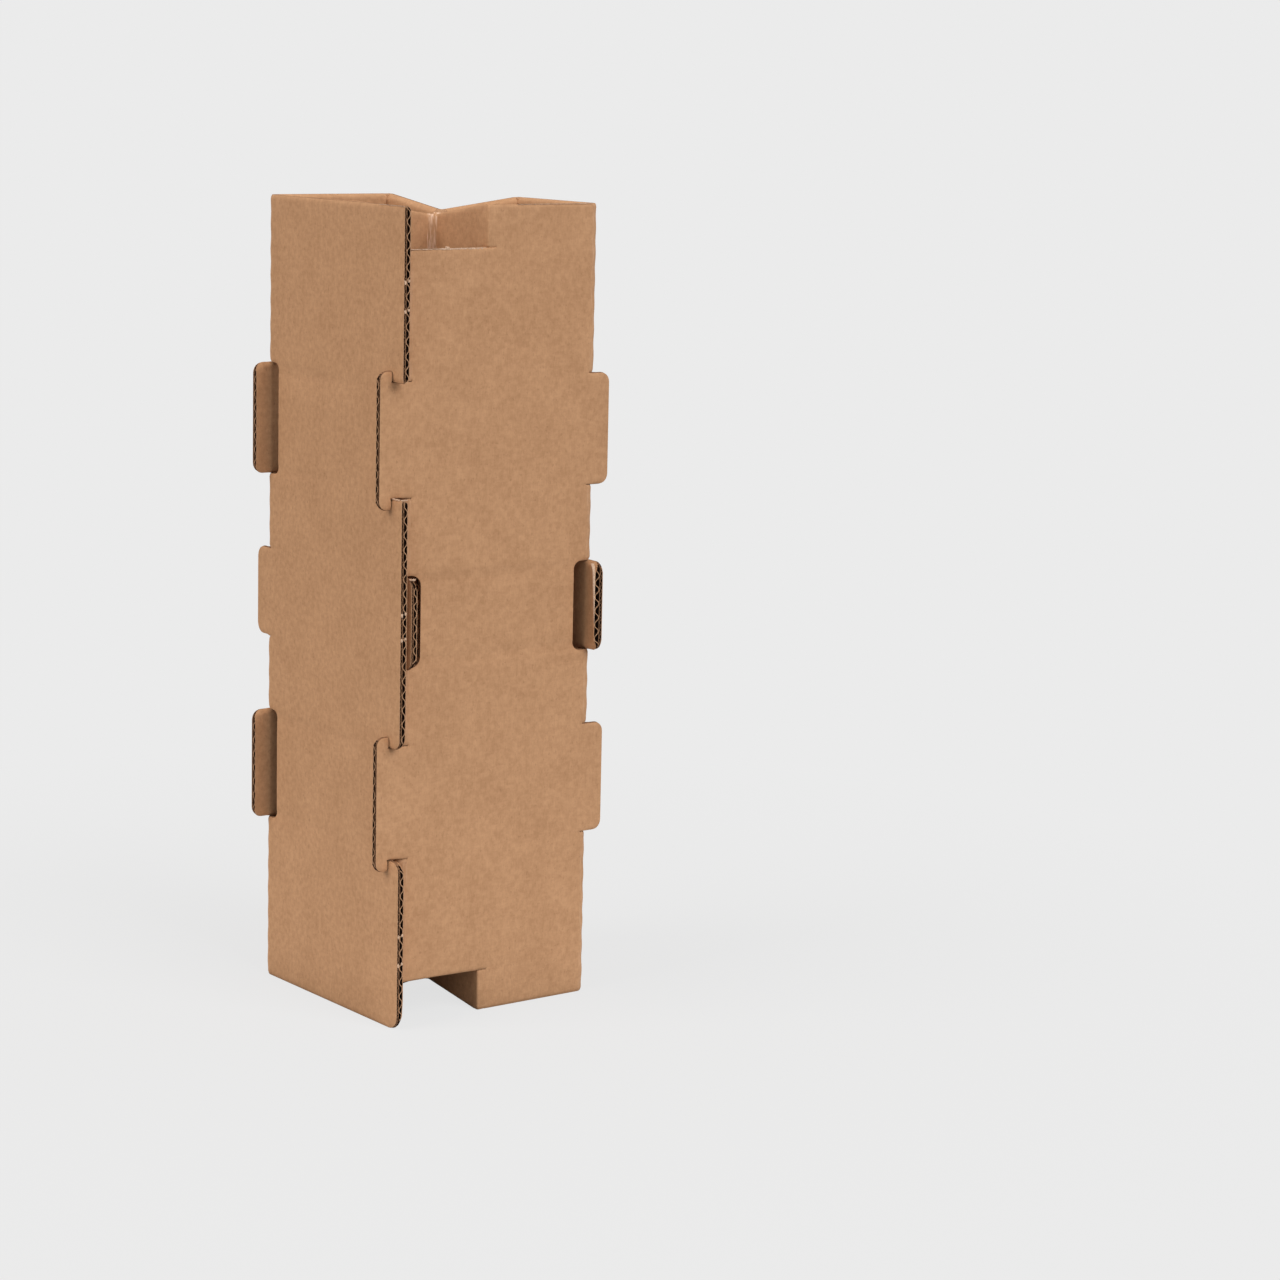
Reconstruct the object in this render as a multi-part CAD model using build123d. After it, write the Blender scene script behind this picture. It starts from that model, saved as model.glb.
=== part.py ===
from build123d import *
import os

# Bottle shipping sleeve: one die-cut sheet of double-wall corrugated board, creased and folded
# into a tall square tube that is open at both ends. Starting at its raw edge the sheet is the
# left wall, the back wall, the right wall, the front wall and a flange that lies flat inside
# the left wall. Heads on the front wall hook round the left wall and close the tube. Tongues at
# every corner keep the tube clear of its outer carton, and the front-left and back-right
# corners are pushed in at both ends, to hold the bottle off the carton's floor and lid.
# Millimetres, +Z up, origin at the middle of the footprint, on the floor.

# Tube, measured over the outer faces of the board
height = 350.0
front_width = 105.5
side_width = 102.5
board = 4.0
fold_inner_radius = 0.5

# Flange inside the left wall: how far it runs on past the hinge of the pushed-in corner, and
# the slot in the front wall that its tongue was cut from
flange_gap = 1.0
flange_margin = 17.0
flange_slot_depth = 10.0

# Tongues: one pair of end tongues and a middle tongue between them at each corner
end_tongue = 48.5
middle_tongue = 39.0
tongue_spacing = 77.5
tongue_reach = 6.8
tongue_radius = 4.2
cut_gap = 0.3

# Hooked heads of the front wall, outside the left wall
head_reach = 5.9
head_lip = 4.75
head_radius = 3.5
hook_gap = 0.4

# Raw edge of the left wall, which stands past the front wall in three lengths
lap_radius = 4.2
foot_radius = 6.0

# Corners pushed in at both ends
strip_height = 18.4
hinge_radius = 0.9
apex_gap = 8.8
front_apex_blunt = 4.0
back_apex_blunt = 1.8
front_top_sink = 6.2
front_bottom_rise = 5.0
back_sink = 5.0

# Fluting, open wherever the sheet is cut across its flutes: a large flute behind the inner
# liner, and a small one behind the outer liner on the long raw edge and the heads
liner = 0.3
large_pitch = 6.2
large_height = 2.1
small_pitch = 3.1
small_height = 0.9
flute_web = 0.35
flute_depth = 2.5

# Lengths that follow from the sizes above
fold_outer_radius = fold_inner_radius + board
fold_centre_radius = fold_inner_radius + board / 2
left = -front_width / 2
right = front_width / 2
front = -side_width / 2
back = side_width / 2
flange_face = left + board + flange_gap
strip_arm = (min(right - flange_face, side_width) - 2 * board - apex_gap) / 2
flange_end = front + strip_arm + flange_margin
slot_depth = tongue_reach + board
middle = height / 2
end_levels = (middle - tongue_spacing, middle + tongue_spacing)

UP = Vector(0, 0, 1)
LEFTWARD = Vector(-1, 0, 0)
RIGHTWARD = Vector(1, 0, 0)
FORWARD = Vector(0, -1, 0)
BACKWARD = Vector(0, 1, 0)
overlap = 1.0


def panel_outline(start, end, low, high, low_radius=0.0, high_radius=0.0):
    """Rectangle from start to end along a wall, with its two far corners rounded."""
    outline = Pos((start + end) / 2, (low + high) / 2) * Rectangle(abs(end - start), high - low)
    for level, radius in ((low, low_radius), (high, high_radius)):
        if radius > 0:
            corner = outline.vertices().sort_by_distance((end, level))[0]
            outline = fillet(corner, radius)
    return outline


def in_wall(corner, along, inward, outline, depth):
    """Stand an outline up in a wall, in distance from the corner and height, and thicken it."""
    wall = Plane(origin=corner, x_dir=along, z_dir=along.cross(UP))
    return extrude(wall * outline, amount=depth, dir=inward)


def tongue_plate(corner, out, face, level, length):
    """Tongue that runs straight on past the corner in its own wall, whose outer side is face."""
    low = level - length / 2
    high = level + length / 2
    root = -fold_outer_radius - overlap
    outline = panel_outline(root, tongue_reach, low, high, tongue_radius, tongue_radius)
    return in_wall(corner, out, -face, outline, board)


def tongue_slot(corner, out, face, level, length, depth):
    """Slot that the tongue leaves in the wall round the corner, with the fold cut through."""
    low = level - length / 2 - cut_gap
    high = level + length / 2 + cut_gap
    outline = panel_outline(-overlap, depth, low, high, tongue_radius, tongue_radius)
    return in_wall(corner, -face, -out, outline, fold_outer_radius)


def head_outline(level, start, neck_end, head_end, gap):
    """T of a neck and a longer head with rounded outer corners, grown by the cutting gap."""
    half = end_tongue / 2 + gap
    lip = half + head_lip
    neck = panel_outline(start, neck_end + gap, level - half, level + half)
    head = panel_outline(
        neck_end - gap, head_end, level - lip, level + lip, head_radius, head_radius
    )
    return neck + head


def strip_windows(corner, out, face, low, high):
    """What the pushed-in corner leaves open in its two walls, from the corner to the hinges."""
    outline = panel_outline(-overlap, strip_arm, low, high)
    along_first = in_wall(corner, -out, -face, outline, fold_outer_radius)
    along_second = in_wall(corner, -face, -out, outline, fold_outer_radius)
    return [along_first, along_second]


def hinge_rounds(corner, out, face, low, high):
    """What the crushed crease takes off the outer edge of each hinge of a pushed-in corner."""
    square = Rectangle(2 * hinge_radius, 2 * hinge_radius)
    sliver = square - Pos(hinge_radius, hinge_radius) * Circle(hinge_radius)
    hinges = [corner - out * strip_arm, corner - face * strip_arm]
    return [
        extrude(Plane(origin=hinge + UP * low, x_dir=-out, z_dir=UP) * sliver, amount=high - low)
        for hinge in hinges
    ]


def pushed_in_corner(corner, out, face, top, sink, blunt):
    """Two arms hinged on the walls and meeting at a more or less blunt crease inside the tube.

    The corner sinks towards the middle of the tube, so both of its cut edges slope down from
    the hinges to the crease at the top end, and up at the bottom end.
    """
    far = strip_arm + board / 2
    route = [
        corner - out * far,
        corner - out * far - face * (far - blunt),
        corner - out * (far - blunt) - face * far,
        corner - face * far,
    ]
    path = FilletPolyline(*route, radius=fold_centre_radius)
    section = trace(path, line_width=board)
    arms = extrude(section, amount=height, dir=(0, 0, 1))

    inward = -(out + face).normalized()
    hinge_line = (strip_arm + board) * inward.dot(-out)
    crease = 2 * strip_arm * inward.dot(-out)
    slope = sink / (crease - hinge_line)
    run = 2 * crease - hinge_line
    outer_edge = height if top else 0.0
    inner_edge = height - strip_height if top else strip_height
    fall = -run * slope if top else run * slope
    band = make_face(
        Polyline(
            (0, outer_edge),
            (hinge_line, outer_edge),
            (hinge_line + run, outer_edge + fall),
            (hinge_line + run, inner_edge + fall),
            (hinge_line, inner_edge),
            (0, inner_edge),
            close=True,
        )
    )
    diagonal = Plane(origin=corner, x_dir=inward, z_dir=inward.cross(UP))
    return arms & extrude(diagonal * band, amount=front_width + side_width, both=True)


def flute_cells(edge, out, face, low, high, pitch, height, near):
    """Triangular cells of one flute that open on a raw edge, point up and point down in turn.

    Flutes run level round the whole sheet, so cells stand at the same heights on every edge.
    """
    half = pitch / 2 - flute_web
    across = Plane(origin=edge + out * overlap, x_dir=-face, z_dir=-face.cross(UP))
    cells = []
    for step in range(int(low / (pitch / 2)) + 1, int(high / (pitch / 2)) + 1):
        level = step * pitch / 2
        if level - half > low and level + half < high:
            base, tip = (near, near + height) if step % 2 else (near + height, near)
            cell = make_face(
                Polyline((base, level - half), (base, level + half), (tip, level), close=True)
            )
            cells.append(extrude(across * cell, amount=overlap + flute_depth, dir=-out))
    return cells


front_left = Vector(flange_face, front, 0)
front_right = Vector(right, front, 0)
back_right = Vector(right, back, 0)
back_left = Vector(left, back, 0)

# Each corner with the direction its end tongues point in and the outer side of their wall
plain_corners = [
    (back_left, LEFTWARD, BACKWARD),
    (back_right, RIGHTWARD, BACKWARD),
    (front_right, RIGHTWARD, FORWARD),
]
hooked_corner = (front_left, LEFTWARD, FORWARD)

# Tube: the sheet's section, with a rounded fold at each corner, run up the full height
tube_route = [
    (left + board / 2, front + board + hook_gap),
    (left + board / 2, back - board / 2),
    (right - board / 2, back - board / 2),
    (right - board / 2, front + board / 2),
    (flange_face + board / 2, front + board / 2),
    (flange_face + board / 2, flange_end),
]
tube_path = FilletPolyline(*tube_route, radius=fold_centre_radius)
sheet = extrude(trace(tube_path, line_width=board), amount=height, dir=(0, 0, 1))

openings = []
additions = []
trims = []

# End tongues at the three plain corners
for corner, out, face in plain_corners:
    for level in end_levels:
        openings.append(tongue_slot(corner, out, face, level, end_tongue, slot_depth))
        additions.append(tongue_plate(corner, out, face, level, end_tongue))

# Middle tongues point round the corner from the end ones, so out and face change places
for corner, face, out in plain_corners + [hooked_corner]:
    depth = flange_slot_depth if corner == front_left else slot_depth
    openings.append(tongue_slot(corner, out, face, middle, middle_tongue, depth))
    additions.append(tongue_plate(corner, out, face, middle, middle_tongue))

# Hooked heads, the slots they leave in the flange, and the lengths of raw edge between them
neck_end = flange_face - left + hook_gap
head_end = flange_face - left + head_reach
corner, out, face = hooked_corner
for level in end_levels:
    head = head_outline(level, -fold_outer_radius - overlap, neck_end, head_end, 0.0)
    slot = head_outline(level, -overlap, neck_end + board, head_end + board, cut_gap)
    openings.append(in_wall(corner, -face, -out, slot, fold_outer_radius))
    additions.append(in_wall(corner, out, -face, head, board))

notch_half = end_tongue / 2 + cut_gap
lap_lengths = [
    (0.0, end_levels[0] - notch_half, foot_radius, lap_radius),
    (end_levels[0] + notch_half, end_levels[1] - notch_half, lap_radius, 0.0),
    (end_levels[1] + notch_half, height, 0.0, 0.0),
]
for low, high, low_radius, high_radius in lap_lengths:
    root = -board - hook_gap - overlap
    lap = panel_outline(root, tongue_reach, low, high, low_radius, high_radius)
    additions.append(in_wall(Vector(left, front, 0), FORWARD, RIGHTWARD, lap, board))

# Corners pushed in at both ends
for (corner, out, face), top_sink, bottom_sink, blunt in [
    (hooked_corner, front_top_sink, front_bottom_rise, front_apex_blunt),
    (plain_corners[1], back_sink, back_sink, back_apex_blunt),
]:
    for low, high in ((height - strip_height, height + overlap), (-overlap, strip_height)):
        openings += strip_windows(corner, out, face, low, high)
        trims += hinge_rounds(corner, out, face, low, high)
    additions.append(pushed_in_corner(corner, out, face, True, top_sink, blunt))
    additions.append(pushed_in_corner(corner, out, face, False, bottom_sink, blunt))

# Raw edges that cross the flutes, each with the heights between which it runs straight
long_edges = []
short_edges = []
for corner, out, face in plain_corners:
    for level in end_levels:
        half = end_tongue / 2 - tongue_radius
        short_edges.append((corner + out * tongue_reach, out, face, level - half, level + half))
half = middle_tongue / 2 - tongue_radius
for corner, face, out in plain_corners + [hooked_corner]:
    short_edges.append((corner + out * tongue_reach, out, face, middle - half, middle + half))
half = end_tongue / 2 + head_lip - head_radius
for level in end_levels:
    tip = front_left + LEFTWARD * head_end
    long_edges.append((tip, LEFTWARD, FORWARD, level - half, level + half))
for low, high, low_radius, high_radius in lap_lengths:
    lap_edge = Vector(left, front - tongue_reach, 0)
    long_edges.append((lap_edge, FORWARD, LEFTWARD, low + low_radius, high - high_radius))

for edge in long_edges + short_edges:
    trims += flute_cells(*edge, large_pitch, large_height, board - liner - large_height)
for edge in long_edges:
    trims += flute_cells(*edge, small_pitch, small_height, liner)

folded_sleeve = (sheet - openings) + additions - trims

os.makedirs("parts", exist_ok=True)
export_step(folded_sleeve, "parts/folded_sleeve.step")
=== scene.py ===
from math import cos, pi, radians, sin, sqrt

import bmesh
import bpy
from mathutils import Matrix, Vector, noise


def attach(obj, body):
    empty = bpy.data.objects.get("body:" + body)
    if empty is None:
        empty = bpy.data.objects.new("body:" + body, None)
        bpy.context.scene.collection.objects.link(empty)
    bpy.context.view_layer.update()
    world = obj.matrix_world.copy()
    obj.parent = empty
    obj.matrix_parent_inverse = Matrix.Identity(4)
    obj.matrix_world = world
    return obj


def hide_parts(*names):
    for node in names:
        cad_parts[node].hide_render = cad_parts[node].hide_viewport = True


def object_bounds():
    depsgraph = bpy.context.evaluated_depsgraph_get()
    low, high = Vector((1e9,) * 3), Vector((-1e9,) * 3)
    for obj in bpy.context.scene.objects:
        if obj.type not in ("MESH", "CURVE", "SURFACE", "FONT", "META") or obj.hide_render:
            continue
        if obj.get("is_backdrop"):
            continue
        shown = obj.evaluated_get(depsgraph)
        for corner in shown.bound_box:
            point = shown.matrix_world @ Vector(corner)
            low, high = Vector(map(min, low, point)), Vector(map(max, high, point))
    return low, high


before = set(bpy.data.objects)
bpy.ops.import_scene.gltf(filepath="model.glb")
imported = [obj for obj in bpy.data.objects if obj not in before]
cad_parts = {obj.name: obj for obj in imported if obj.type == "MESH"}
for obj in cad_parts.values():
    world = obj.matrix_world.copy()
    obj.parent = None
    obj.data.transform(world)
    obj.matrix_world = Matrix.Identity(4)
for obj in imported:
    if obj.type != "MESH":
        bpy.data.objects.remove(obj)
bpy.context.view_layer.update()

# Walls of the sleeve: one die-cut sheet of brown double-wall board, folded into a square tube.
# Each wall is cut in one go with the tongues and heads that run on past its folds and the
# slots that its neighbours' tongues leave in it. Sizes here are in millimetres.
HEIGHT = 350.0
BOARD = 4.0
LEFT, RIGHT = -52.75, 52.75
FRONT, BACK = -51.25, 51.25
FLANGE = LEFT + BOARD + 1.0
FOLD = BOARD + 0.5
REACH = 6.8
SLOT = REACH + BOARD
FLANGE_SLOT = 10.0
CUT_GAP = 0.3
MIDDLE = HEIGHT / 2
END_OFFSET = 77.5
ENDS = (MIDDLE - END_OFFSET, MIDDLE + END_OFFSET)
END_TONGUE = 48.5
MIDDLE_TONGUE = 39.0
TONGUE_ROUND = 4.2
HEAD_LIP = 4.75
HEAD_ROUND = 3.5
HEAD_NECK = FLANGE - LEFT + 0.4
HEAD_REACH = FLANGE - LEFT + 5.9
FOOT_ROUND = 6.0
ROUND_STEPS = 6
STRIP = 18.4
TOP_CUT = HEIGHT - STRIP
STRIP_OVERLAP = 8.8
ARM = (RIGHT - FLANGE - 2 * BOARD - STRIP_OVERLAP) / 2
FLANGE_END = FRONT + ARM + 17.0
# Level share of an edge's run, above which it counts as cut along the flutes
NEARLY_UPRIGHT = 0.1


def step_out(edge, tip, level, length, rounding=TONGUE_ROUND):
    """Corners of a tongue or a slot on one side of a wall, going up."""
    low, high = level - length / 2, level + length / 2
    return [(edge, low, 0), (tip, low, rounding), (tip, high, rounding), (edge, high, 0)]


def head_out(edge, neck, tip, level, grow):
    """Corners of a hooked head, or of the slot it was cut from, on one side of a wall."""
    half = END_TONGUE / 2 + grow
    lip = half + HEAD_LIP
    return [
        (edge, level - half, 0), (neck, level - half, 0), (neck, level - lip, 0),
        (tip, level - lip, HEAD_ROUND), (tip, level + lip, HEAD_ROUND),
        (neck, level + lip, 0), (neck, level + half, 0), (edge, level + half, 0),
    ]


def side(edge, steps, hinge=None):
    """One upright side of a wall with its steps, short of the hinge where strips are cut."""
    corners = [corner for step in steps for corner in step]
    if hinge is None:
        return [(edge, 0, 0)] + corners + [(edge, HEIGHT, 0)]
    foot = [(hinge, 0, 0), (hinge, STRIP, 0), (edge, STRIP, 0)]
    return foot + corners + [(edge, TOP_CUT, 0), (hinge, TOP_CUT, 0), (hinge, HEIGHT, 0)]


def tongues_out(edge, turn, levels, length):
    """Tongues that run on past a fold at the given levels."""
    return [step_out(edge, edge + turn * (FOLD + REACH), level, length) for level in levels]


def slots_in(edge, turn, levels, length):
    """Slots that the neighbour's tongues leave at the given levels."""
    tip = edge + turn * (FOLD - SLOT)
    return [step_out(edge, tip, level, length + 2 * CUT_GAP) for level in levels]


def steps_up(*groups):
    """Tongues and slots of one side, in order from the floor."""
    return sorted((step for group in groups for step in group), key=lambda step: step[0][1])


def notched(edge, turn, slot_levels, slot_length, tongue_levels, tongue_length, hinge=None):
    """One upright side of a wall that has both slots and tongues."""
    slots = slots_in(edge, turn, slot_levels, slot_length)
    tongues = tongues_out(edge, turn, tongue_levels, tongue_length)
    return side(edge, steps_up(slots, tongues), hinge)


notch = END_TONGUE / 2 + CUT_GAP
lap = FRONT - REACH
bare = FRONT + BOARD + 0.4
raw_edge = [
    (lap, 0, FOOT_ROUND), (lap, ENDS[0] - notch, TONGUE_ROUND), (bare, ENDS[0] - notch, 0),
    (bare, ENDS[0] + notch, 0), (lap, ENDS[0] + notch, TONGUE_ROUND), (lap, ENDS[1] - notch, 0),
    (bare, ENDS[1] - notch, 0), (bare, ENDS[1] + notch, 0), (lap, ENDS[1] + notch, 0),
    (lap, HEIGHT, 0),
]
hooks = FLANGE + FOLD
flange_root = FRONT + FOLD
front_left_side = side(
    hooks,
    [
        head_out(hooks, FLANGE - HEAD_NECK, FLANGE - HEAD_REACH, ENDS[0], 0),
        step_out(hooks, FLANGE + FLANGE_SLOT, MIDDLE, MIDDLE_TONGUE + 2 * CUT_GAP),
        head_out(hooks, FLANGE - HEAD_NECK, FLANGE - HEAD_REACH, ENDS[1], 0),
    ],
    FLANGE + ARM + BOARD,
)
head_slots = [
    head_out(flange_root, FRONT + HEAD_NECK + BOARD, FRONT + HEAD_REACH + BOARD, level, CUT_GAP)
    for level in ENDS
]
flange_side = side(
    flange_root,
    [head_slots[0]] + tongues_out(flange_root, -1, [MIDDLE], MIDDLE_TONGUE) + [head_slots[1]],
    FRONT + ARM + BOARD,
)
right_back_side = notched(
    BACK - FOLD, 1, ENDS, END_TONGUE, [MIDDLE], MIDDLE_TONGUE, BACK - ARM - BOARD
)
back_right_side = notched(
    RIGHT - FOLD, 1, [MIDDLE], MIDDLE_TONGUE, ENDS, END_TONGUE, RIGHT - ARM - BOARD
)
X, Y, Z = Vector((1, 0, 0)), Vector((0, 1, 0)), Vector((0, 0, 1))
# Name, a point of the outer face, the way its sides are measured, outward side, two sides
walls = [
    ("left", X * LEFT, Y, -X, raw_edge,
     notched(BACK - FOLD, 1, ENDS, END_TONGUE, [MIDDLE], MIDDLE_TONGUE)),
    ("back", Y * BACK, X, Y,
     notched(LEFT + FOLD, -1, [MIDDLE], MIDDLE_TONGUE, ENDS, END_TONGUE), back_right_side),
    ("right", X * RIGHT, Y, X,
     notched(FRONT + FOLD, -1, ENDS, END_TONGUE, [MIDDLE], MIDDLE_TONGUE), right_back_side),
    ("front", Y * FRONT, X, -Y, front_left_side,
     notched(RIGHT - FOLD, 1, [MIDDLE], MIDDLE_TONGUE, ENDS, END_TONGUE)),
    ("flange", X * FLANGE, Y, -X, flange_side, [(FLANGE_END, 0, 0), (FLANGE_END, HEIGHT, 0)]),
]


def cut_wall(place, along, outward, first_side, second_side):
    """Flat outer face of a wall, from the corners of its two sides, with its rounded corners.

    It comes with the stretches of its outline that run level or nearly so, along the flutes.
    """
    face_mesh = bmesh.new()
    rounded = {}
    ring = []
    for reach, level, rounding in first_side[::-1] + second_side:
        corner = face_mesh.verts.new(place + along * reach + Z * level)
        ring.append(corner)
        if rounding:
            rounded.setdefault(rounding, []).append(corner)
    face = face_mesh.faces.new(ring)
    face.normal_update()
    if face.normal.dot(outward) < 0:
        face.normal_flip()
    for rounding, corners in rounded.items():
        bmesh.ops.bevel(
            face_mesh, geom=corners, affect="VERTICES", offset=rounding, segments=ROUND_STEPS,
            profile=0.5, material=-1,
        )
    cuts = []
    for edge in face_mesh.edges:
        ends = sorted(((end.co - place).dot(along), end.co.z) for end in edge.verts)
        start, end = Vector(ends[0]), Vector(ends[1])
        level = (end.x - start.x) / (end - start).length
        if level > NEARLY_UPRIGHT:
            cuts.append((start, end, level))
    return face_mesh, cuts


# Layers of the board from its outer face in: three flat liners, with a small flute between
# the outer two and a large flute between the inner two, all glued at their crests. The die
# has crushed the edges that stand out, and its knife has pinched each cut along the flutes.
LINER = 0.28
SMALL_MEDIUM = 0.18
LARGE_MEDIUM = 0.34
SMALL_PITCH = 3.1
LARGE_PITCH = 6.2
SMALL_ROOM = 1.0
DRIFT, DRIFT_SPAN = 0.5, 38
SQUASH, SQUASH_SPAN = 0.15, 9
CRUSH = 0.2
HEAD_CRUSH = 0.34
FLANGE_CRUSH = 0.28
LEAN = 0.3
SWELL = 0.12
PINCH = 0.74
PINCH_REACH = 1.5
PINCH_DEPTH = 0.8
PINCH_FADE = 1.6
PAST_CUT_FADE = 3
# Height above and below a level cut over which the fluting shows the look of its torn edge, in
# place of the near-black painted shade that it has elsewhere
FRAYED = 1.1
KRAFT, CUT_LINER, FLUTING, CUT_FLUTING, CREASE, WORN = range(6)
middle_face = LINER + SMALL_ROOM
# Dents pressed into the outer face: wall, middle, radius and depth
dents = [("front", Vector((-51.6, FRONT, 274.6)), 3.6, 0.9)]


def fluted_layer(near, far, medium, pitch, phase):
    """Depth of a fluted sheet that touches two liners, with the unevenness of its flutes."""
    centre = (near + far - medium) / 2
    swing = (far - near - medium) / 2

    def depth(place):
        drift = DRIFT * noise.noise(place / DRIFT_SPAN + Vector((phase, 0, 0)))
        squash = 1 - SQUASH * abs(noise.noise(place / SQUASH_SPAN + Vector((0, phase, 0))))
        wave = sin(2 * pi * ((place.z + drift) / pitch + phase))
        # The crests are a little broader than a sine's, where they are glued
        return centre + swing * squash * wave * (1.5 - 0.5 * wave ** 2)

    return depth


# Depth in the board, thickness, distance between the rows of its mesh, and the looks of its
# outer side, inner side and cut edge. Sides that face into the board take the fluting look, with
# its near-black painted shade.
LINER_ROWS = 12.4
liner_layers = [
    (lambda place: 0.0, LINER, LINER_ROWS, KRAFT, FLUTING, CUT_LINER),
    (lambda place: middle_face, LINER, LINER_ROWS, FLUTING, FLUTING, CUT_FLUTING),
    (lambda place: BOARD - LINER, LINER, LINER_ROWS, FLUTING, KRAFT, CUT_LINER),
]
small_flute = [(
    fluted_layer(LINER, middle_face, SMALL_MEDIUM, SMALL_PITCH, 0.1),
    SMALL_MEDIUM, SMALL_PITCH / 6, FLUTING, FLUTING, CUT_FLUTING,
)]
large_flute = [(
    fluted_layer(middle_face + LINER, BOARD - LINER, LARGE_MEDIUM, LARGE_PITCH, 0.3),
    LARGE_MEDIUM, LARGE_PITCH / 10, FLUTING, FLUTING, CUT_LINER,
)]
# A level cut is followed by rows at these distances, in a patch that runs on past the last row
ROW_OFFSETS = (0.4, 0.9, 1.5, 2.8, 4.2)
PATCH_MARGIN = ROW_OFFSETS[-1] + 0.2
PATCH_CORNER = 0.5
LEVEL = 0.999
# Rows keep this share of their spacing away from the corners of an outline
ROW_SHIFT = 0.013
SLICE_SLACK = 1e-5
DENT_PATCH = 16
DENT_STEPS = 4
# Distances past the outer faces at which the tips are cut up, to be crushed smoothly
TIP_STEPS = (0.0, 1.2, 3.2, 5.2)
EDGE_ON = 0.3
SHARP = radians(40)


def slice_faces(piece, faces, place, way):
    """Cut some faces of a piece along a plane, and return the faces that they become."""
    parts = {part for face in faces for part in (*face.verts, *face.edges)}
    sliced = bmesh.ops.bisect_plane(
        piece, geom=list(parts) + faces, dist=SLICE_SLACK, plane_co=place, plane_no=way
    )
    return [part for part in sliced["geom"] if isinstance(part, bmesh.types.BMFace)]


def slice_rows(piece, low, high, spacing):
    """Cut a piece level at regular heights, a little off the corners of its outline."""
    for step in range(int(low / spacing) + 1, int(high / spacing) + 1):
        level = spacing * (step + ROW_SHIFT)
        if low < level < high:
            slice_faces(piece, piece.faces[:], Z * level, Z)


def slice_near_cuts(piece, place, along, cuts, rows):
    """Cut a piece up finely, but only near the cuts along the flutes, where it is pinched."""
    level_cuts = [(start, end) for start, end, level in cuts if level > LEVEL]
    for height in sorted({start.y for start, end in level_cuts}):
        for off in (-PATCH_MARGIN, PATCH_MARGIN):
            slice_faces(piece, piece.faces[:], Z * (height + off), Z)
    for start, end in level_cuts:
        near = [
            face for face in piece.faces
            if abs(face.calc_center_median().z - start.y) < PATCH_MARGIN
        ]
        reaches = (
            start.x - PATCH_MARGIN, start.x - PATCH_CORNER,
            end.x + PATCH_CORNER, end.x + PATCH_MARGIN,
        )
        for reach in reaches:
            near = slice_faces(piece, near, place + along * reach, along)
        if rows:
            near = [
                face for face in near
                if -PATCH_MARGIN < (face.calc_center_median() - place).dot(along) - start.x
                < end.x - start.x + PATCH_MARGIN
            ]
            for off in ROW_OFFSETS:
                for way in (-1, 1):
                    near = slice_faces(piece, near, Z * (start.y + way * off), Z)


def slice_near_dents(piece, name, along):
    """Cut a piece up finely over the dents of its wall."""
    for wall, middle, radius, sink in dents:
        if wall == name:
            near = [
                face for face in piece.faces
                if (face.calc_center_median() - middle).length < DENT_PATCH
            ]
            for step in range(-DENT_STEPS, DENT_STEPS + 1):
                for way in (along, Z):
                    place = middle + way * radius * step / DENT_STEPS
                    near = slice_faces(piece, near, place, way)


def stand_out(place):
    """How far a point stands out of the tube, past its outer faces."""
    return max(abs(place.x) - RIGHT, abs(place.y) - BACK, 0.0)


def knife_grip(point, cuts):
    """How hard the nearest cut along the flutes has pinched the board at a point of a wall."""
    grip = 0.0
    for start, end, level in cuts:
        length = (end - start).length
        way = (end - start) / length
        run = (point - start).dot(way)
        past = max(-run, run - length, 0.0)
        gap = Vector((PAST_CUT_FADE * past, (point - start).cross(way))).length
        grip = max(grip, sqrt(level) * (1 - gap / PINCH_REACH))
    return grip


def pinched(depth, grip):
    """Depth of a layer where the knife has gripped the board."""
    return PINCH_DEPTH + (depth - PINCH_DEPTH) * (1 - PINCH * grip ** PINCH_FADE)


def moved_by_hand(name, place, depth):
    """Depth after use: crushed tips, the flange's leaning tongue, a swollen one, and dents."""
    tip = min(stand_out(place) / REACH, 1.0)
    if name == "right" and place.y < 0 and tip > 0:
        return depth * (1 + SWELL * tip ** 2)
    crush = {"front": HEAD_CRUSH, "flange": FLANGE_CRUSH}.get(name, CRUSH)
    lean = LEAN * tip if name == "flange" else 0.0
    depth = BOARD / 2 + (depth - BOARD / 2) * (1 - crush * tip ** 2) + lean
    for wall, middle, radius, sink in dents:
        if wall == name:
            near = max(1 - (place - middle).length / radius, 0.0)
            depth += sink * near ** 2 * (3 - 2 * near) * (1 - depth / BOARD)
    return depth


def shade_round(piece):
    """Shade a piece round, but for its sharp edges."""
    for face in piece.faces:
        face.smooth = True
    for edge in piece.edges:
        edge.smooth = edge.calc_face_angle(0) < SHARP


def add_to(target, piece):
    """Move one closed piece into the target mesh."""
    carried = bpy.data.meshes.new("carried")
    piece.to_mesh(carried)
    piece.free()
    target.from_mesh(carried)
    bpy.data.meshes.remove(carried)


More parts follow.
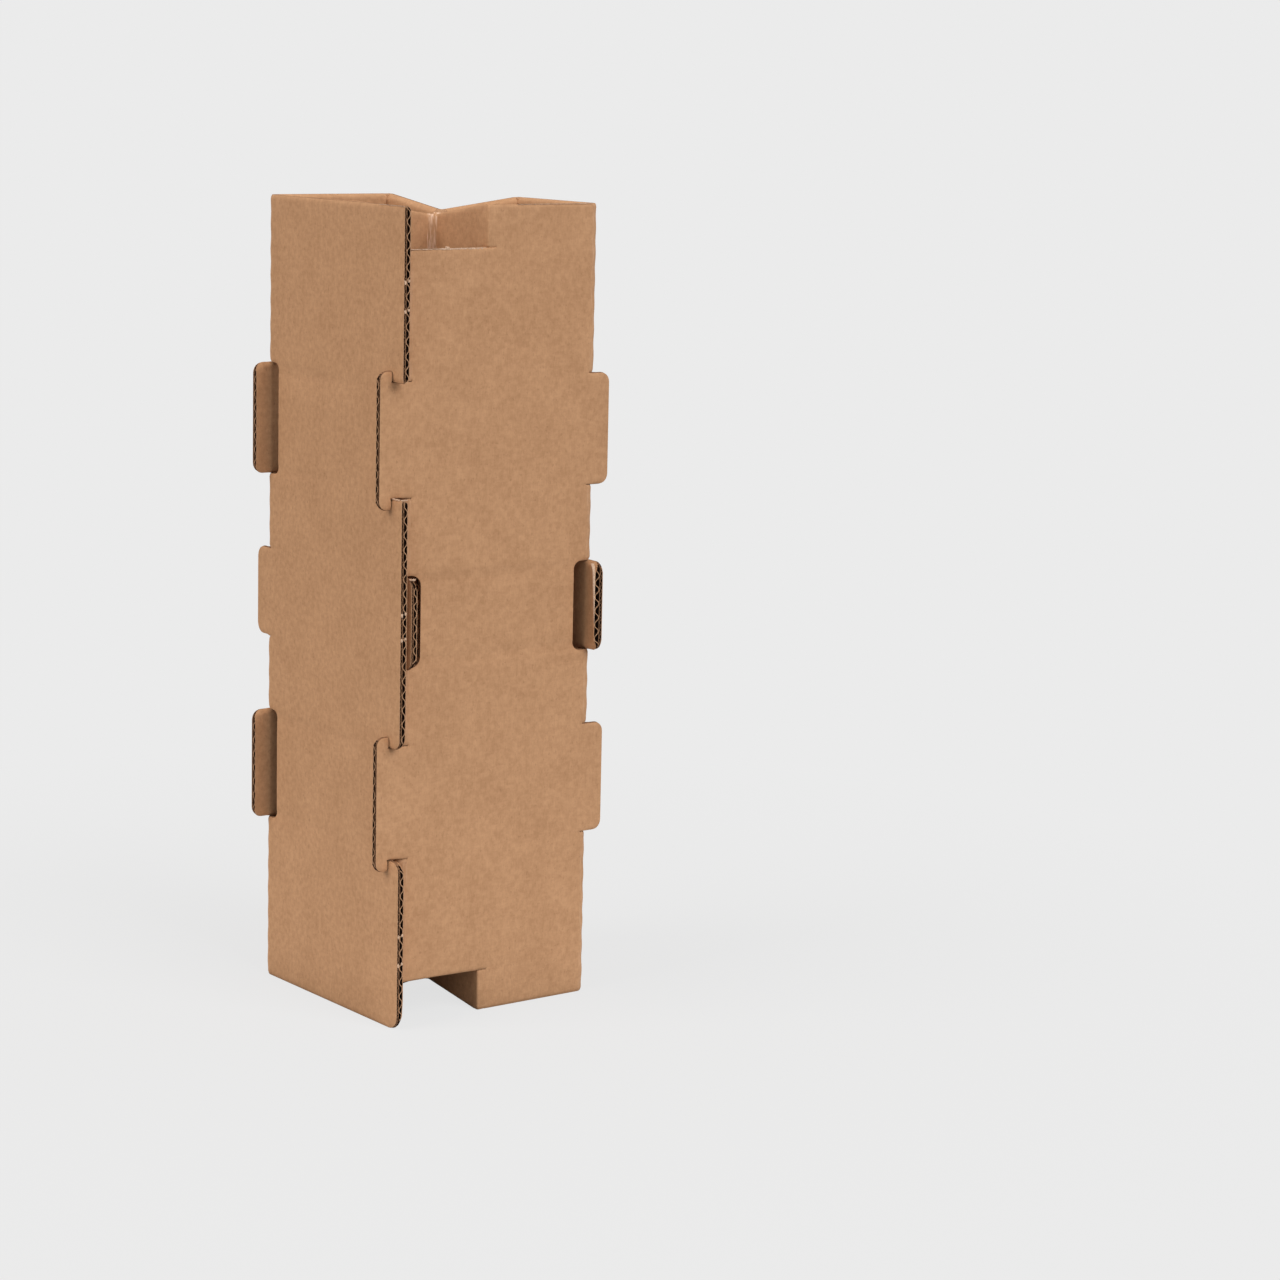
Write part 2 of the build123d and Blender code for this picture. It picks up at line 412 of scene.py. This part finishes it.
def lay_board(target, layers, name, place, along, outward, first_side, second_side):
    """Add layers of the board, cut to the outline of one wall, to the target mesh."""
    face_mesh, cuts = cut_wall(place, along, outward, first_side, second_side)
    cut_heights = [start.y for start, end, level in cuts]
    level_heights = {start.y for start, end, level in cuts if level > LEVEL}
    for depth_at, thickness, spacing, outer_paper, inner_paper, cut_paper in layers:
        sheet = face_mesh.copy()
        slice_rows(sheet, min(cut_heights), max(cut_heights), spacing)
        slice_near_cuts(sheet, place, along, cuts, spacing == LINER_ROWS)
        slice_near_dents(sheet, name, along)
        for past in TIP_STEPS:
            for across in (X * (RIGHT + past), -X * (RIGHT + past), Y * (BACK + past),
                           -Y * (BACK + past)):
                slice_faces(sheet, sheet.faces[:], across, across.normalized())
        for corner in sheet.verts:
            grip = knife_grip(Vector(((corner.co - place).dot(along), corner.co.z)), cuts)
            depth = moved_by_hand(name, corner.co, depth_at(corner.co))
            corner.co -= outward * pinched(depth, grip)
        sheet.normal_update()
        bmesh.ops.solidify(sheet, geom=sheet.faces[:], thickness=thickness)
        for face in sheet.faces:
            facing = face.normal.dot(outward)
            height = face.calc_center_median().z
            paper = outer_paper if facing > 0 else inner_paper
            # Fluting faces carry the near-black painted shade of the closed flutes, except near a
            # level cut
            if paper == FLUTING and any(abs(height - cut) < FRAYED for cut in level_heights):
                paper = CUT_FLUTING
            face.material_index = cut_paper if abs(facing) < EDGE_ON else paper
        shade_round(sheet)
        add_to(target, sheet)
    face_mesh.free()


liners = bmesh.new()
small_fluting = bmesh.new()
large_fluting = bmesh.new()
for wall in walls:
    lay_board(liners, liner_layers, *wall)
    lay_board(small_fluting, small_flute, *wall)
    lay_board(large_fluting, large_flute, *wall)

# Folds: the board is scored and bends in a quarter turn, with its flutes crushed between the
# liners. Each fold is cut away where a tongue runs straight on past it.
FOLD_STEPS = 7
SCALLOP = 0.13
SCALLOP_PITCH = 11.0
SCALLOP_SINK = 1.8
SCALLOP_DRIFT_SPAN = 7
CRUSHED_SHORT = 0.3
CUT_END = 0.7
fold_lengths = [
    (0, ENDS[0] - notch), (ENDS[0] + notch, MIDDLE - MIDDLE_TONGUE / 2 - CUT_GAP),
    (MIDDLE + MIDDLE_TONGUE / 2 + CUT_GAP, ENDS[1] - notch), (ENDS[1] + notch, HEIGHT),
]
# Corner, the two ways out of it, and whether strips are pushed in at its ends
folds = [
    (Vector((LEFT, BACK, 0)), -X, Y, False),
    (Vector((RIGHT, BACK, 0)), X, Y, True),
    (Vector((RIGHT, FRONT, 0)), X, -Y, False),
    (Vector((FLANGE, FRONT, 0)), -X, -Y, True),
]
# Depths between which each liner and each crushed flute lies, how far short of a cut it ends,
# and the looks of its sides and of its cut ends
bands = [
    (0.0, LINER, 0.0, CREASE, CUT_LINER),
    (LINER, middle_face, CRUSHED_SHORT, CUT_FLUTING, CUT_FLUTING),
    (middle_face, middle_face + LINER, 0.0, CREASE, CUT_LINER),
    (middle_face + LINER, BOARD - LINER, CRUSHED_SHORT, CUT_FLUTING, CUT_FLUTING),
    (BOARD - LINER, BOARD, 0.0, CREASE, CUT_LINER),
]


def end_grip(point, low, high):
    """How hard the knife has pinched the board near its two cut ends."""
    return max(1 - min(point.z - low, high - point.z) / PINCH_REACH, 0.0)


def board_profile(low, high, face_point, inward, near=0.0, far=BOARD, spacing=HEIGHT, pinch=1):
    """Upright section through the board between two depths, pinched at its two cut ends."""
    profile = bmesh.new()
    corners = [Z * low, Z * low + inward * BOARD, Z * high + inward * BOARD, Z * high]
    profile.faces.new([profile.verts.new(corner) for corner in corners])
    slice_rows(profile, low, high, spacing)
    for off in ROW_OFFSETS[:3]:
        for level in (low + off, high - off):
            slice_faces(profile, profile.faces[:], Z * level, Z)
    for point in profile.verts:
        depth = near if point.co.dot(inward) < BOARD / 2 else far
        depth = pinched(depth, end_grip(point.co, low, high) * pinch)
        point.co = face_point + inward * depth + Z * point.co.z
    return profile


def everything(piece):
    """All that a spin or an extrusion has to carry."""
    return piece.verts[:] + piece.edges[:] + piece.faces[:]


def finish_solid(target, piece, paper, cut_paper):
    """Point the faces of a closed piece outwards, shade it round and add it to the target."""
    bmesh.ops.recalc_face_normals(piece, faces=piece.faces[:])
    for face in piece.faces:
        face.material_index = cut_paper if abs(face.normal.z) > CUT_END else paper
    shade_round(piece)
    add_to(target, piece)


for corner, out, face_way, pushed in folds:
    axis = corner - (out + face_way) * FOLD
    turn = 1 if face_way.cross(out).z > 0 else -1
    for low, high in fold_lengths:
        low = max(low, STRIP) if pushed else low
        high = min(high, TOP_CUT) if pushed else high
        for near, far, short, paper, cut_paper in bands:
            spacing = SCALLOP_PITCH / 6 if near < middle_face else HEIGHT
            ring = board_profile(
                low + short, high - short, axis + face_way * FOLD, -face_way, near, far, spacing
            )
            bmesh.ops.spin(
                ring, geom=everything(ring), cent=axis, axis=Z, angle=turn * pi / 2,
                steps=FOLD_STEPS, use_duplicate=False,
            )
            for point in ring.verts:
                spoke = Vector((point.co.x - axis.x, point.co.y - axis.y, 0))
                inside = (FOLD - spoke.length - LINER) / SMALL_ROOM
                share = min(max(1 - inside, 0.0), 1.0)
                bulge = 2 * abs(spoke.x * spoke.y) / spoke.length_squared
                wave = sin(2 * pi * point.co.z / SCALLOP_PITCH + corner.x)
                wave += noise.noise(Vector((corner.x, corner.y, point.co.z)) / SCALLOP_DRIFT_SPAN)
                point.co += spoke.normalized() * bulge * SCALLOP * share * (wave - SCALLOP_SINK)
            finish_solid(liners, ring, paper, cut_paper)

# Pushed-in strips: at both ends of two corners a strip of the sheet is slit off, creased the
# other way and pushed into the tube, where it holds the bottle off the carton. The corner of
# the strip sinks towards the middle of the tube, and its crease is blunt.
HINGE_ROUND = 0.9
HINGE_STEPS = 4
FRONT_BLUNT, BACK_BLUNT = 4.0, 1.8
CREASE_ROUND = 0.5
CREASE_STEPS = 4
TOP_SINK, FOOT_RISE, BACK_SINK = 6.2, 5.0, 5.0
LEVEL_SLACK = 0.1
TOUCHING = 1e-4
crease_centre = CREASE_ROUND + BOARD / 2
bend = radians(45)
hinge_line = (ARM + BOARD) / sqrt(2)
crease_line = 2 * ARM / sqrt(2)


def bent_on(piece, geom, centre, angle):
    """Turn the end of a piece round an upright axis and return its new end."""
    swept = bmesh.ops.spin(
        piece, geom=geom, cent=centre, axis=Z, angle=angle, steps=CREASE_STEPS,
        use_duplicate=False,
    )
    return swept["geom_last"]


def run_on(piece, geom, way):
    """Carry the end of a piece straight on and return its new end."""
    grown = bmesh.ops.extrude_face_region(piece, geom=geom)["geom"]
    moved = [part for part in grown if isinstance(part, bmesh.types.BMVert)]
    bmesh.ops.translate(piece, verts=moved, vec=way)
    return grown


for corner, out, face_way, top_sink, foot_rise, blunt in [
    (folds[3][0], -X, -Y, TOP_SINK, FOOT_RISE, FRONT_BLUNT),
    (folds[1][0], X, Y, BACK_SINK, BACK_SINK, BACK_BLUNT),
]:
    inward = -(out + face_way).normalized()
    arm_end = ARM + BOARD / 2 - blunt - crease_centre * (sqrt(2) - 1)
    diagonal = blunt * sqrt(2) - 2 * crease_centre * (sqrt(2) - 1)
    for low, high, sink in ((TOP_CUT, HEIGHT, top_sink), (0, STRIP, -foot_rise)):
        strip_liners = bmesh.new()
        strip_small = bmesh.new()
        strip_large = bmesh.new()
        for first, second in ((out, face_way), (face_way, out)):
            hinge_edge = corner - first * ARM
            sides = [(-BOARD, low, 0), (-BOARD, high, 0)], [(-arm_end, low, 0), (-arm_end, high, 0)]
            arm = ("strip", hinge_edge, second, first, *sides)
            lay_board(strip_liners, liner_layers, *arm)
            lay_board(strip_small, small_flute, *arm)
            lay_board(strip_large, large_flute, *arm)
            hinge = board_profile(low, high, hinge_edge, -first, pinch=0)
            run_on(hinge, hinge.faces[:], -second * BOARD)
            outer = [
                edge for edge in hinge.edges
                if abs(edge.verts[0].co.z - edge.verts[1].co.z) > LEVEL_SLACK and all(
                    abs((end.co - hinge_edge).dot(second)) < TOUCHING
                    and (hinge_edge - end.co).dot(first) < BOARD / 2 for end in edge.verts
                )
            ]
            bmesh.ops.bevel(
                hinge, geom=outer, affect="EDGES", offset=HINGE_ROUND, segments=HINGE_STEPS,
                profile=0.5, material=-1,
            )
            for point in hinge.verts:
                dip = pinched(0, end_grip(point.co, low, high))
                for way in (first, second):
                    point.co -= way * dip * (1 - (hinge_edge - point.co).dot(way) / BOARD)
            finish_solid(strip_liners, hinge, KRAFT, CUT_LINER)
        turn = bend if out.cross(face_way).z > 0 else -bend
        start = corner - out * ARM - face_way * arm_end
        crease = board_profile(low, high, start, -out)
        tip = bent_on(crease, everything(crease), start + out * CREASE_ROUND, turn)
        tip = run_on(crease, tip, (out - face_way).normalized() * diagonal)
        far_axis = corner - face_way * (ARM - CREASE_ROUND) - out * arm_end
        bent_on(crease, tip, far_axis, turn)
        finish_solid(strip_liners, crease, WORN, CUT_LINER)
        strips = [
            (strip_liners, liners), (strip_small, small_fluting), (strip_large, large_fluting),
        ]
        for part, whole in strips:
            for point in part.verts:
                run = (point.co - corner).dot(inward) - hinge_line
                point.co.z -= sink * max(run, 0) / (crease_line - hinge_line)
            add_to(whole, part)

# Kraft liner, the brown face of the board: long fibres pressed flat, so it is mottled a few
# millimetres across, with finer streaks and dark specks. Where it is creased it is rubbed
# paler along the folds and stands in fine wrinkles.
PAPER_GLOSS = 0.25
KRAFT_ROUGHNESS = 0.82
KRAFT_BROWN = (0.43, 0.226, 0.112, 1)
KRAFT_PALE = (0.6, 0.334, 0.178, 1)
KRAFT_DARK = (0.28, 0.135, 0.065, 1)
KRAFT_RUBBED = (0.84, 0.58, 0.42, 1)
SPECK_SHARE = 0.3
CREASE_RUB, WORN_RUB = 0.15, 0.95
FIBRE_STRENGTH, FIBRE_HEIGHT = 0.4, 0.00012


class Wire:
    """A socket in a material. Python's own operators on it add Math nodes."""

    def __init__(self, tree, socket=None):
        self.tree = tree
        self.socket = socket

    def add(self, kind, settings, sockets, output=0):
        """Add a node of one kind, with its settings and the values or links of its sockets."""
        node = self.tree.nodes.new(kind)
        for name, value in settings.items():
            setattr(node, name, value)
        for name, value in sockets.items():
            if isinstance(value, Wire):
                self.tree.links.new(value.socket, node.inputs[name])
            else:
                node.inputs[name].default_value = value
        return Wire(self.tree, node.outputs[output] if node.outputs else None)

    def maths(self, operation, *terms):
        """Add a Math node on the terms."""
        return self.add("ShaderNodeMath", {"operation": operation}, dict(enumerate(terms)))

    def __add__(self, other):
        return self.maths("ADD", self, other)

    def __radd__(self, other):
        return self.maths("ADD", other, self)

    def __mul__(self, other):
        return self.maths("MULTIPLY", self, other)

    def __rmul__(self, other):
        return self.maths("MULTIPLY", other, self)

    def between(self, low, high):
        """Fraction of the way from one value to the other, held between 0 and 1."""
        return self.add("ShaderNodeMapRange", {}, {"Value": self, "From Min": low, "From Max": high})

    def blend(self, share, colour, other):
        """Colour that goes from one colour to another with the share."""
        return self.add(
            "ShaderNodeMix", {"data_type": "RGBA"}, {0: share, 6: colour, 7: other}, output=2
        )

    def stretch(self, scale):
        """Object coordinates, with each axis scaled."""
        return self.add("ShaderNodeMapping", {}, {"Vector": self, "Scale": scale})

    def grain(self, scale, detail=2.0, roughness=0.5):
        """Soft noise over coordinates, with its scale to the metre."""
        return self.add(
            "ShaderNodeTexNoise", {},
            {"Vector": self, "Scale": scale, "Detail": detail, "Roughness": roughness},
        )


def paper_look(name, roughness):
    """New paper material, with its object coordinates and its shader."""
    look = bpy.data.materials.new(name)
    look.use_nodes = True
    shader = look.node_tree.nodes["Principled BSDF"]
    shader.inputs["Roughness"].default_value = roughness
    shader.inputs["Specular IOR Level"].default_value = PAPER_GLOSS
    place = Wire(look.node_tree).add("ShaderNodeTexCoord", {}, {}, output="Object")
    return look, shader, place


def give(shader, name, wire):
    """Feed a socket of the shader."""
    wire.tree.links.new(wire.socket, shader.inputs[name])


def kraft_look(name, rubbed):
    """Kraft face, rubbed pale in upright wrinkles by the share given."""
    look, shader, place = paper_look(name, KRAFT_ROUGHNESS)
    blotches = place.grain(420, 3, 0.6).between(0.36, 0.64)
    clouds = place.grain(55, 2).between(0.35, 0.65)
    upright_streaks = place.stretch((1, 1, 0.22)).grain(1500, 2).between(0.3, 0.7)
    level_streaks = place.stretch((0.25, 0.25, 1)).grain(1300, 2).between(0.3, 0.7)
    tone = blotches * 0.42 + clouds * 0.2 + upright_streaks * 0.24 + level_streaks * 0.14
    specks = place.stretch((1, 1, 0.6)).grain(900, 1).between(0.66, 0.74)
    brown = tone.blend(tone, KRAFT_BROWN, KRAFT_PALE)
    brown = tone.blend(specks * SPECK_SHARE, brown, KRAFT_DARK)
    wrinkles = place.stretch((1, 1, 0.12)).grain(1100, 2, 0.6).between(0.42, 0.68)
    if rubbed:
        brown = tone.blend(wrinkles * rubbed, brown, KRAFT_RUBBED)
    give(shader, "Base Color", brown)
    height = blotches * 0.5 + upright_streaks * 0.3 + level_streaks * 0.2 + wrinkles * rubbed * 2
    relief = {"Strength": FIBRE_STRENGTH, "Distance": FIBRE_HEIGHT, "Height": height}
    give(shader, "Normal", height.add("ShaderNodeBump", {}, relief))
    return look


kraft = kraft_look("kraft_face", 0)
creased = kraft_look("kraft_crease", CREASE_RUB)
worn = kraft_look("kraft_worn", WORN_RUB)

# Cut edges of the liners and the large fluting: broken fibre, rougher and more uneven in tone
# than the pressed face. The thin small fluting and the middle liner are cut darker.
FIBRE_ROUGHNESS = 0.95


def fibre_look(name, scale, dark, pale):
    """Rough paper that is mottled finely between two colours."""
    look, shader, place = paper_look(name, FIBRE_ROUGHNESS)
    fibres = place.grain(scale, 3, 0.7).between(0.3, 0.7)
    give(shader, "Base Color", fibres.blend(fibres, dark, pale))
    return look


cut_liner = fibre_look("cut_liner", 1600, (0.3, 0.145, 0.07, 1), (0.58, 0.35, 0.205, 1))
cut_medium = fibre_look("cut_fluting", 1600, (0.12, 0.052, 0.024, 1), (0.36, 0.19, 0.1, 1))

# Fluting medium: thin recycled paper between the liners, darker than they are. Its flutes are
# deep and narrow, so hardly any light comes back out of them, and its colour is set near black
# as painted shade for the inside of the flutes.
medium = fibre_look("fluting", 900, (0.022, 0.008, 0.003, 1), (0.055, 0.022, 0.009, 1))

# Finished board: the liners and the two fluted sheets are glued into one sheet, so they stand
# together in place of its plain solid, and stay on the sleeve's one body.
MM = 0.001
board_looks = (kraft, cut_liner, medium, cut_medium, creased, worn)


def finish_piece(name, built, looks):
    """Turn a built mesh into a finished piece of the sleeve, in metres, and fix it there."""
    for point in built.verts:
        point.co.z = min(max(point.co.z, 0.0), HEIGHT)
    bmesh.ops.scale(built, vec=(MM, MM, MM), verts=built.verts[:])
    piece_mesh = bpy.data.meshes.new(name)
    built.to_mesh(piece_mesh)
    built.free()
    piece = bpy.data.objects.new(name, piece_mesh)
    bpy.context.scene.collection.objects.link(piece)
    for look in looks:
        piece_mesh.materials.append(look)
    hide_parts("folded_sleeve")
    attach(piece, "root")


finish_piece("sleeve_liners", liners, board_looks)
finish_piece("sleeve_small_fluting", small_fluting, board_looks)
finish_piece("sleeve_large_fluting", large_fluting, board_looks)

# Torn fibres: pale broken fibre stands on cut edges of the sheet, most of all on the nicks that
# held the blank in its die, on the cuts of the top window and laps, and on the right wall's
# front tongue, whose inner liner is torn away in a long wedge. The pale lips on the top window's
# cut and on the walls' top edges are partly painted highlight as well.
LINT_STEP = 0.7
LINT_ROUGH = 0.55
LUMP_COARSE, LUMP_FINE = 3.1, 7.3
LIP_COARSE, LIP_FINE = 0.9, 2.7
NICK_HEIGHTS = (318.7, 306.6, 179.5, 169.0, 40.9, 28.4)
LINT = 0
torn_fibre = bmesh.new()


def lint(middle, size):
    """Ragged lump of fibre of the given size."""
    lump = bmesh.new()
    bmesh.ops.create_icosphere(lump, subdivisions=3, radius=0.5)
    for point in lump.verts:
        rough = noise.noise(point.co * LUMP_COARSE + middle / 7)
        rough += noise.noise(point.co * LUMP_FINE + middle)
        point.co *= 1 + LINT_ROUGH * rough
    bmesh.ops.scale(lump, vec=size, verts=lump.verts[:])
    bmesh.ops.translate(lump, verts=lump.verts[:], vec=middle)
    finish_solid(torn_fibre, lump, LINT, LINT)


def fringe(start, end, high, deep):
    """Ragged lip of fibre on a cut edge, from one point to another level with it."""
    lip = bmesh.new()
    bmesh.ops.create_cube(lip, size=1)
    span = end - start
    way = span.normalized()
    across = way.cross(Z)
    size = [abs(span[i]) + abs(across[i]) * deep + Z[i] * high for i in range(3)]
    bmesh.ops.scale(lip, vec=size, verts=lip.verts[:])
    for step in range(1, int(span.length / LINT_STEP)):
        cut = way * (step * LINT_STEP - span.length / 2)
        slice_faces(lip, lip.faces[:], cut, way)
    middle = (start + end) / 2
    for point in lip.verts:
        ragged = noise.noise((point.co + middle) * LIP_COARSE)
        ragged += noise.noise((point.co + middle) * LIP_FINE)
        share = 1 + LINT_ROUGH * ragged
        flat = way * point.co.dot(way)
        point.co = middle + flat + (point.co - flat) * share
    finish_solid(torn_fibre, lip, LINT, LINT)


for height in NICK_HEIGHTS:
    lint(Vector((LEFT + 1.2, lap + 0.1, height)), (1.1, 0.6, 1.6))
    lint(Vector((LEFT + 3.0, lap + 0.1, height + 0.6)), (1.0, 0.6, 1.2))
window = TOP_CUT + 0.1
lap_top = ENDS[1] - notch + 0.2
tongue_top = MIDDLE + MIDDLE_TONGUE / 2
# Two ends of each fringe, its height and its depth
fringes = [
    # The pale lips on the top window's cut and on the top edges are torn fibre and also painted
    # highlight, the pale line where these cut edges catch the light
    ((-30, FRONT + 0.4, window), (-6.5, FRONT + 0.4, window), 0.55, 0.7),
    ((-46, FRONT + 0.4, window), (-30, FRONT + 0.4, window), 0.3, 0.7),
    ((LEFT + 0.4, lap + 1.8, lap_top), (LEFT + 0.4, lap + 7.4, lap_top), 0.5, 0.6),
    ((LEFT + 0.5, lap + 0.4, lap_top), (LEFT + 3.4, lap + 0.4, lap_top), 0.5, 0.6),
    ((9, FRONT + 0.5, HEIGHT), (RIGHT - 5, FRONT + 0.5, HEIGHT), 0.3, 0.6),
    ((LEFT + 0.5, lap + 0.3, HEIGHT), (LEFT + 0.5, lap + 19, HEIGHT), 0.3, 0.6),
]
for start, end, high, deep in fringes:
    fringe(Vector(start), Vector(end), high, deep)
lint(Vector((-26.2, FRONT + 0.4, window + 0.5)), (2.0, 0.9, 1.0))
lint(Vector((FLANGE + 2.0, lap + 1.2, tongue_top - 0.3)), (3.0, 1.5, 0.9))

WEDGE_FOOT, WEDGE_TOP = 168.0, tongue_top - 0.3
WEDGE_HEIGHT = WEDGE_TOP - WEDGE_FOOT
WEDGE_POINT, WEDGE_WIDTH = 0.2, 1.2
WEDGE_THICKNESS = 0.6
WEDGE_STEPS = 24
wedge = bmesh.new()
bmesh.ops.create_cube(wedge, size=1)
bmesh.ops.scale(wedge, vec=(1, WEDGE_THICKNESS, WEDGE_HEIGHT), verts=wedge.verts[:])
for step in range(1, WEDGE_STEPS):
    slice_faces(wedge, wedge.faces[:], Z * (step / WEDGE_STEPS - 0.5) * WEDGE_HEIGHT, Z)
for point in wedge.verts:
    up = max(point.co.z / WEDGE_HEIGHT + 0.5, 0.0)
    ragged = 0.25 * noise.noise(point.co * 0.8) * up
    width = WEDGE_POINT + WEDGE_WIDTH * up ** 1.3 + ragged
    # The top seventh of the wedge curls in
    tucked = 1.0 - cos(pi / 2 * max(up * 7 - 6, 0))
    point.co.x = RIGHT - BOARD * (1 + SWELL) + 0.3 + (point.co.x - 0.5) * width
    point.co.y += lap + tucked + 0.3
    point.co.z += (WEDGE_TOP + WEDGE_FOOT) / 2
finish_solid(torn_fibre, wedge, LINT, LINT)

lint_look = fibre_look("torn_fibre", 1900, (0.46, 0.28, 0.175, 1), (0.8, 0.58, 0.42, 1))
finish_piece("torn_fibre", torn_fibre, (lint_look,))

# Floor: a wide pale sheet that runs out of the picture. It is lit and takes a soft shadow near
# the sleeve, and shows one even pale tone away from it.
PALE = 0.831
FLOOR_RADIUS = 6.0
FLOOR_GREY, FAR_GREY = 0.68, 0.3
LIT_SHARE = 0.12
SHADOW_START, SHADOW_END = 0.12, 0.5
# Glow that the floor gives off round the sleeve, hidden from the camera, which stands in for the
# light the floor throws back onto the lower walls: its strength, where it fades out and where it
# starts
GLOW = 0.8
GLOW_END, GLOW_START = (0.4, 0.1), (0.07, 0.09)
floor_mesh = bpy.data.meshes.new("floor")
floor_shape = bmesh.new()
bmesh.ops.create_circle(floor_shape, cap_ends=True, segments=64, radius=FLOOR_RADIUS)
floor_shape.to_mesh(floor_mesh)
floor_shape.free()
floor = bpy.data.objects.new("floor", floor_mesh)
bpy.context.scene.collection.objects.link(floor)
floor_look = bpy.data.materials.new("floor")
floor_look.use_nodes = True
tree = floor_look.node_tree
tree.nodes.clear()
wire = Wire(tree)


def mix(share, first, second):
    """Mix of two shaders, by a share that is a value in the same material."""
    return share.add("ShaderNodeMixShader", {}, {0: share, 1: first, 2: second})


place = wire.add("ShaderNodeTexCoord", {}, {}, output="Object")
distance = place.add("ShaderNodeVectorMath", {"operation": "LENGTH"}, {0: place}, output=1)
lit_floor, far_floor = [
    wire.add("ShaderNodeBsdfDiffuse", {}, {"Color": (grey, grey, grey, 1)})
    for grey in (FLOOR_GREY, FAR_GREY)
]
even = wire.add("ShaderNodeEmission", {}, {"Color": (PALE, PALE, PALE, 1), "Strength": 1.0})
away = distance.between(SHADOW_START, SHADOW_END)
shown = mix(away * LIT_SHARE + (1 - LIT_SHARE), lit_floor, even)
# The floor glows round the sleeve for all but camera rays, adding light to the lower walls as a
# stand-in for light thrown back by the floor
glow = distance.between(*GLOW_END) * distance.between(*GLOW_START) * GLOW
bounced = mix(glow, far_floor, even)
ray = wire.add("ShaderNodeLightPath", {}, {}, output="Is Camera Ray")
wire.add("ShaderNodeOutputMaterial", {}, {"Surface": mix(ray, bounced, shown)})
floor_mesh.materials.append(floor_look)
floor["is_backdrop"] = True

# Studio light: a big soft lamp high on each side of the camera, with pale surroundings that
# fill the shadows.
LAMP_RANGE = 8.0
LAMP_SIZE = 4.6
lamps = [
    ("left_lamp", Vector((-0.77, 0.13, 0.62)), 362.0, (1.0, 0.965, 0.925)),
    ("right_lamp", Vector((0.13, -0.77, 0.62)), 424.0, (1.0, 1.0, 1.0)),
]
for name, way, power, tint in lamps:
    light = bpy.data.lights.new(name, "AREA")
    light.size = LAMP_SIZE
    light.energy = power
    light.color = tint
    lamp = bpy.data.objects.new(name, light)
    bpy.context.scene.collection.objects.link(lamp)
    lamp.location = way.normalized() * LAMP_RANGE + Z * HEIGHT / 2 * MM
    lamp.rotation_euler = way.to_track_quat("Z", "Y").to_euler()

# Camera at the photograph's height and side, a little above the top of the box and turned
# so that the left wall and the front wall both show. The long lens keeps the uprights upright.
CAMERA_PLACE = Vector((-797.0, -1199.3, 411.3)) * MM
CAMERA_HEADING = radians(37.328)
CAMERA_DROP = radians(9.11)
CAMERA_ROLL = radians(1.273)
CAMERA_LENS = 92.73
CAMERA_SENSOR = 36.0
CAMERA_SHIFT = -0.04
camera = bpy.data.objects.new("camera", bpy.data.cameras.new("camera"))
bpy.context.scene.collection.objects.link(camera)
bpy.context.scene.camera = camera
camera.data.lens = CAMERA_LENS
camera.data.sensor_width = CAMERA_SENSOR
camera.data.shift_y = CAMERA_SHIFT
level_forward = Vector((sin(CAMERA_HEADING), cos(CAMERA_HEADING), 0))
forward = level_forward * cos(CAMERA_DROP) - Vector((0, 0, sin(CAMERA_DROP)))
rightward = Vector((cos(CAMERA_HEADING), -sin(CAMERA_HEADING), 0))
upward = rightward.cross(forward)
tilted_right = rightward * cos(CAMERA_ROLL) + upward * sin(CAMERA_ROLL)
tilted_up = upward * cos(CAMERA_ROLL) - rightward * sin(CAMERA_ROLL)
camera.matrix_world = Matrix.Translation(CAMERA_PLACE) @ Matrix(
    (tilted_right, tilted_up, -forward)
).transposed().to_4x4()

# Surroundings: an even room round the sleeve, which lights it dimly from all sides. The camera
# and reflections see the pale background there instead.
ROOM = 0.4
world = bpy.data.worlds.new("studio")
bpy.context.scene.world = world
world.use_nodes = True
tree = world.node_tree
tree.nodes.clear()
wire = Wire(tree)
rays = [
    wire.add("ShaderNodeLightPath", {}, {}, output=kind)
    for kind in ("Is Camera Ray", "Is Glossy Ray", "Is Transmission Ray")
]
seen = rays[0].maths("MAXIMUM", rays[0], rays[1].maths("MAXIMUM", rays[1], rays[2]))
dim, pale = [
    wire.add("ShaderNodeBackground", {}, {"Color": (1, 1, 1, 1), "Strength": strength})
    for strength in (ROOM, PALE)
]
wire.add("ShaderNodeOutputWorld", {}, {"Surface": mix(seen, dim, pale)})
bpy.context.scene.view_settings.view_transform = "Standard"
low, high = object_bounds()
